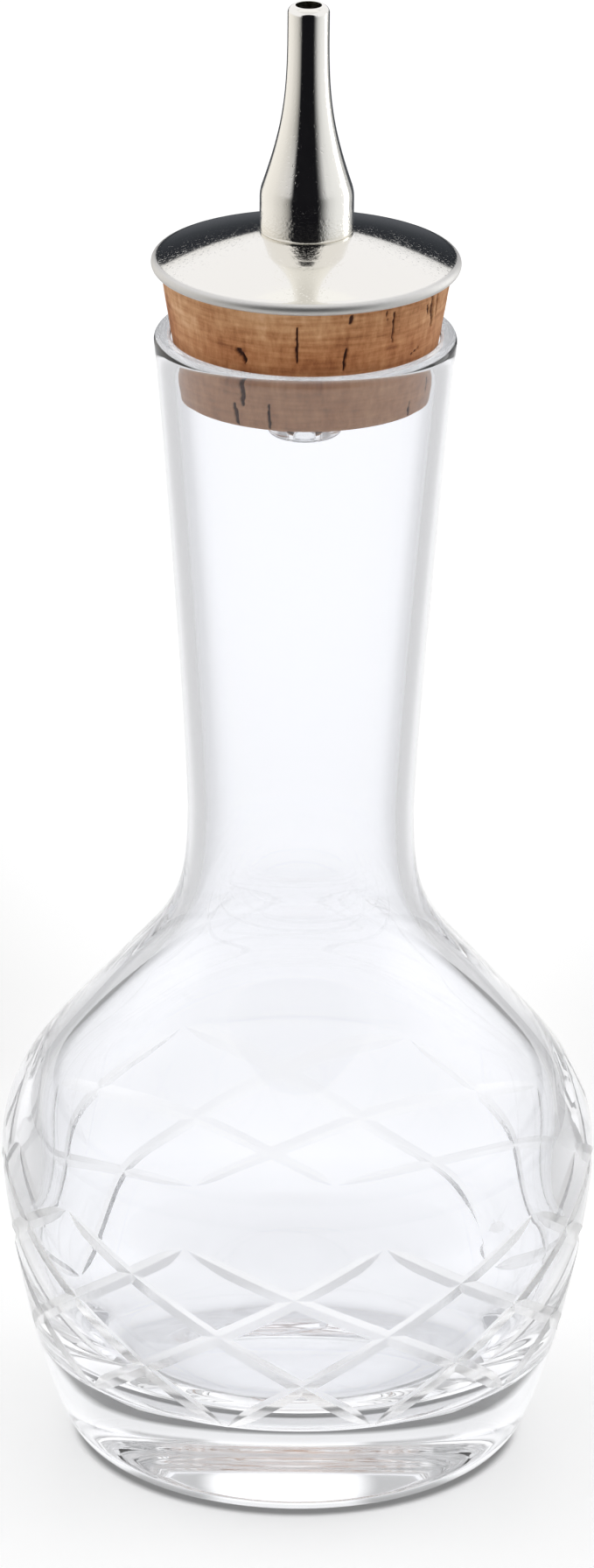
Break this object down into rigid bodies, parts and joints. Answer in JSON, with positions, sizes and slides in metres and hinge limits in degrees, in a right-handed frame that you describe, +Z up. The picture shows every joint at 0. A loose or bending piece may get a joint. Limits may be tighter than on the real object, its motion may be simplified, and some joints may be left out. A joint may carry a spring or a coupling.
{
  "type": "bitters bottle",
  "caption": "Round cut-glass bitters bottle with a long flared neck, a diamond lattice round the belly, and a tapered cork carrying a polished metal disc and screwed dasher spout.",
  "frame": {"origin": "middle of the flat foot, on the surface the bottle stands on", "axes": "+Z up along the bottle's axis towards the spout, -Y towards the viewer of the picture"},
  "size_m": [0.065, 0.065, 0.1637],
  "materials": {
    "clear_glass": "polished clear glass",
    "cork": "natural cork",
    "polished_metal": "mirror polished, slightly warm",
    "clear_plastic": "clear gloss",
    "stem_metal": "threaded"
  },
  "bodies": {
    "bottle": {"glass_bottle": "clear_glass"},
    "stopper": {"cork_stopper": "cork", "cap_disc": "polished_metal", "retaining_nut": "clear_plastic"},
    "stem": {"threaded_stem": "stem_metal"},
    "nozzle": {"dasher_nozzle": "polished_metal"}
  },
  "joints": [
    {"name": "stopper_lift", "type": "slide", "parent": "bottle", "child": "stopper", "axis": [0, 0, 1], "range_m": [0, 0.04]},
    {"name": "nozzle_rise", "type": "slide", "parent": "stopper", "child": "stem", "axis": [0, 0, 1], "range_m": [0, 0.004]},
    {"name": "nozzle_unscrew", "type": "hinge", "parent": "stem", "child": "nozzle", "pos_m": [0, 0, 0.1389], "axis": [0, 0, 1], "range_deg": [0, 1800.5]}
  ],
  "couplings": [
    {"joint": "nozzle_unscrew", "follows": "nozzle_rise", "rad_per_m": 7854}
  ]
}
